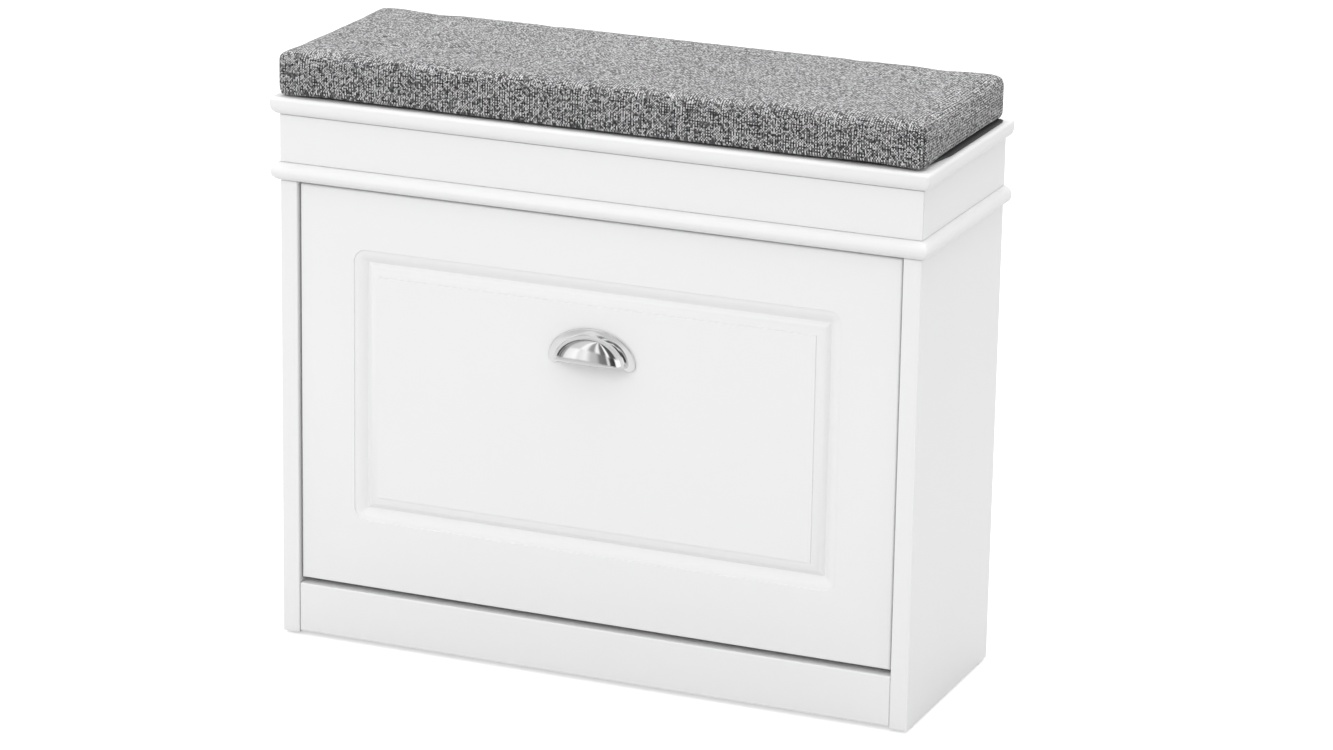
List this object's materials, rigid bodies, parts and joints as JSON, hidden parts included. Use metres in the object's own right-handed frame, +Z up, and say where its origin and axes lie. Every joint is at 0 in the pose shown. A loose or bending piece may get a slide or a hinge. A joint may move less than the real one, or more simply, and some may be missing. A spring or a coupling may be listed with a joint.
{
  "type": "entryway bench",
  "caption": "Slim white entryway bench with a padded fabric seat and a tip-out shoe flap with a routed front and a metal cup pull.",
  "frame": {"origin": "on the floor, under the middle of the bench's bounding box", "axes": "+X to the right of a person facing the bench's front, +Y from the front to the wall, +Z up"},
  "size_m": [0.6, 0.22, 0.528],
  "materials": {
    "white_foil": "satin white foil on fibreboard",
    "back_board": "matt white hardboard",
    "white_plastic": "moulded white plastic",
    "grey_plastic": "fine-textured grey plastic",
    "beech": "fluted hardwood dowel",
    "zinc": "zinc-plated steel",
    "polished_nickel": "polished nickel-coloured metal",
    "grey_fabric": "grey melange linen-look weave over foam",
    "dark_lining": "dark non-slip lining"
  },
  "bodies": {
    "carcass": {"side_panel_left": "white_foil", "side_panel_right": "white_foil", "bottom_panel": "white_foil", "plinth": "white_foil", "middle_board": "white_foil", "frieze_front": "white_foil", "frieze_left": "white_foil", "frieze_right": "white_foil", "frieze_back": "white_foil", "top_board": "white_foil", "back_panel": "back_board", "foot_glide_front_left": "white_plastic", "foot_glide_back_left": "white_plastic", "foot_glide_front_right": "white_plastic", "foot_glide_back_right": "white_plastic", "cam_front_left": "zinc", "cam_back_left": "zinc", "cam_front_right": "zinc", "cam_back_right": "zinc", "cam_bolt_front_left": "zinc", "cam_bolt_back_left": "zinc", "cam_bolt_front_right": "zinc", "cam_bolt_back_right": "zinc", "dowel_front_left": "beech", "dowel_back_left": "beech", "dowel_front_right": "beech", "dowel_back_right": "beech", "pivot_bush_left": "white_plastic", "pivot_bush_right": "white_plastic", "stop_peg_left": "zinc", "stop_peg_right": "zinc", "magnetic_catch": "white_plastic", "catch_screw_left": "zinc", "catch_screw_right": "zinc", "wall_bracket": "zinc", "wall_bracket_screw": "zinc"},
    "flap": {"door_panel": "white_foil", "cup_pull": "polished_nickel", "pull_screw_left": "zinc", "pull_screw_right": "zinc", "cheek_left": "grey_plastic", "cheek_right": "grey_plastic", "pivot_pin_left": "zinc", "pivot_pin_right": "zinc", "tray_floor": "white_foil", "tray_fence": "white_foil", "divider_shelf": "white_foil", "divider_lip": "white_foil", "cheek_screw_left_low": "zinc", "cheek_screw_left_high": "zinc", "cheek_screw_right_low": "zinc", "cheek_screw_right_high": "zinc", "strike_plate": "zinc", "strike_screw": "zinc"},
    "pad": {"cushion": "grey_fabric", "cushion_lining": "dark_lining"}
  },
  "joints": [
    {"name": "flap_tilt", "type": "hinge", "parent": "carcass", "child": "flap", "pos_m": [0, -0.066, 0.124], "axis": [1, 0, 0], "range_deg": [0, 45]},
    {"name": "cushion_lift", "type": "slide", "parent": "carcass", "child": "pad", "axis": [0, 0, 1], "range_m": [0, 0.15]}
  ]
}
